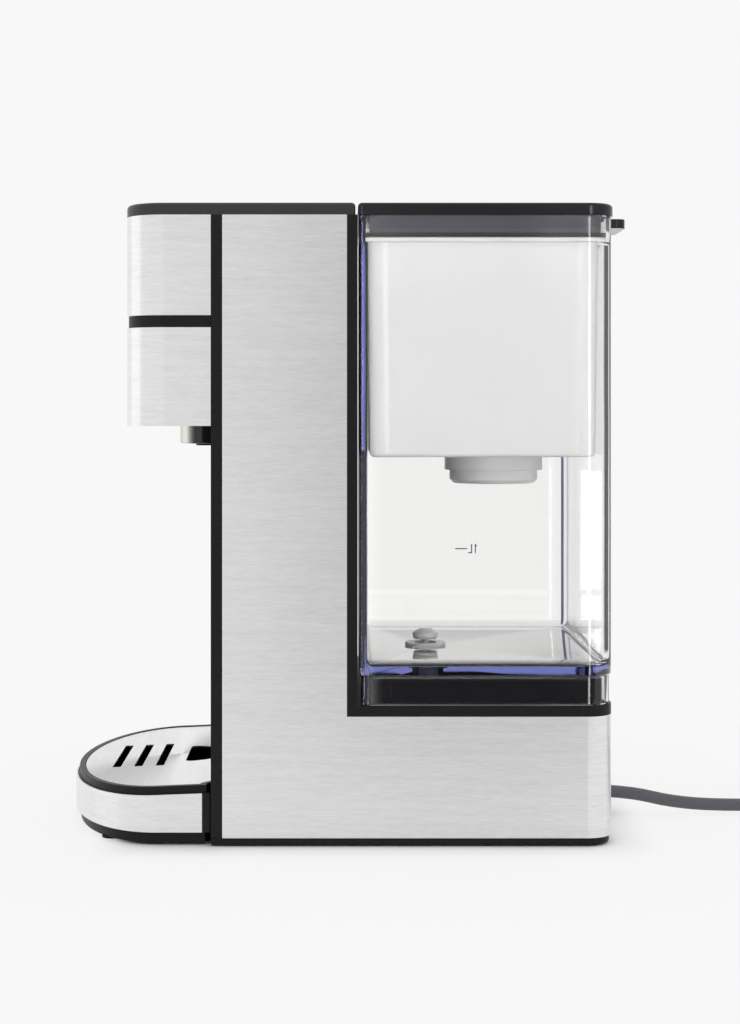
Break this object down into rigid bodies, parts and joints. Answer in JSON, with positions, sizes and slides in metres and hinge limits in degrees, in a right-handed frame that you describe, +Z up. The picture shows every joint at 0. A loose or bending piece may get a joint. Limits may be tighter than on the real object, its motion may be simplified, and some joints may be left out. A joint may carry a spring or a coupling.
{
  "type": "countertop water dispenser",
  "caption": "Brushed steel countertop water dispenser: a head with a nozzle over a drip tray, and a clear lift-off tank with a lid, a white funnel and a filter at the rear.",
  "frame": {"origin": "middle of the footprint on the table, under the object without its cord", "axes": "+Z up, -Y towards the cup, X across the width"},
  "size_m": [0.182, 0.5175, 0.3154],
  "materials": {
    "black_plastic": "satin black moulded plastic",
    "gloss_black": "gloss black moulded plastic",
    "black_glass": "gloss touch panel",
    "brushed_steel": "horizontally brushed stainless sheet",
    "polished_steel": "polished sleeve",
    "clear_plastic": "clear moulded plastic with a faint violet tint",
    "white_plastic": "white moulded plastic",
    "grey_plastic": "light grey moulded plastic",
    "rubber": "black rubber",
    "silicone_hose": "translucent silicone",
    "spring_steel": "plain steel",
    "circuit_board": "circuit board",
    "cord_grey": "grey cord sheath",
    "pin_metal": "plated pins"
  },
  "bodies": {
    "housing": {"main_housing": "black_plastic", "steel_skin": "brushed_steel", "front_fascia": "black_plastic", "base_plate": "black_plastic", "base_screws": "spring_steel", "rubber_feet": "rubber", "head_frame": "black_plastic", "head_upper_band": "brushed_steel", "head_lower_band": "brushed_steel", "head_underside": "black_plastic", "nozzle_sleeve": "polished_steel", "outlet_tip": "gloss_black", "top_cover": "gloss_black", "control_panel": "black_glass", "touch_board": "circuit_board", "tank_seat": "gloss_black", "dock_coupler": "grey_plastic", "dock_seal": "rubber", "flow_meter": "grey_plastic", "pump_body": "grey_plastic", "pump_motor": "spring_steel", "pump_cradle": "rubber", "heater": "spring_steel", "thermal_cutouts": "spring_steel", "heater_brackets": "spring_steel", "inlet_hose": "silicone_hose", "suction_hose": "silicone_hose", "feed_hose": "silicone_hose", "hot_hose": "silicone_hose", "power_board": "circuit_board", "strain_relief": "cord_grey", "cord_lead": "cord_grey", "cord_coil": "cord_grey", "cord_tie": "black_plastic", "plug_body": "cord_grey", "plug_pins": "pin_metal"},
    "tank": {"tank": "clear_plastic", "tank_valve_body": "grey_plastic", "valve_spring": "spring_steel"},
    "valve": {"valve_plunger": "grey_plastic", "valve_seal": "rubber"},
    "funnel": {"funnel": "white_plastic", "filter_socket": "grey_plastic"},
    "lid": {"lid": "gloss_black", "lid_gasket": "rubber"},
    "cartridge": {"filter_cartridge": "grey_plastic"},
    "tray": {"drip_tray": "black_plastic", "tray_band": "brushed_steel", "tray_feet": "rubber"},
    "grille": {"tray_grille": "brushed_steel"},
    "rotor": {"pump_rotor": "grey_plastic"},
    "turbine": {"flow_turbine": "grey_plastic"}
  },
  "joints": [
    {"name": "tank_lift", "type": "slide", "parent": "housing", "child": "tank", "axis": [0, 0, 1], "range_m": [0, 0.25]},
    {"name": "valve_lift", "type": "slide", "parent": "tank", "child": "valve", "axis": [0, 0, 1], "range_m": [0, 0.002], "stiffness_N_per_m": 200, "springref_m": -0.006, "deforming": ["valve_spring"]},
    {"name": "funnel_lift", "type": "slide", "parent": "tank", "child": "funnel", "axis": [0, 0, 1], "range_m": [0, 0.15]},
    {"name": "lid_lift", "type": "slide", "parent": "funnel", "child": "lid", "axis": [0, 0, 1], "range_m": [0, 0.1]},
    {"name": "cartridge_lift", "type": "slide", "parent": "funnel", "child": "cartridge", "axis": [0, 0, 1], "range_m": [0, 0.025]},
    {"name": "tray_slide", "type": "slide", "parent": "housing", "child": "tray", "axis": [0, -1, 0], "range_m": [0, 0.1]},
    {"name": "grille_lift", "type": "slide", "parent": "tray", "child": "grille", "axis": [0, 0, 1], "range_m": [0, 0.03]},
    {"name": "pump_spin", "type": "hinge", "parent": "housing", "child": "rotor", "pos_m": [-0.052, 0.0406, 0.043], "axis": [1, 0, 0], "continuous": true},
    {"name": "turbine_spin", "type": "hinge", "parent": "housing", "child": "turbine", "pos_m": [0, 0.0406, 0.043], "axis": [0, 0, 1], "continuous": true}
  ]
}
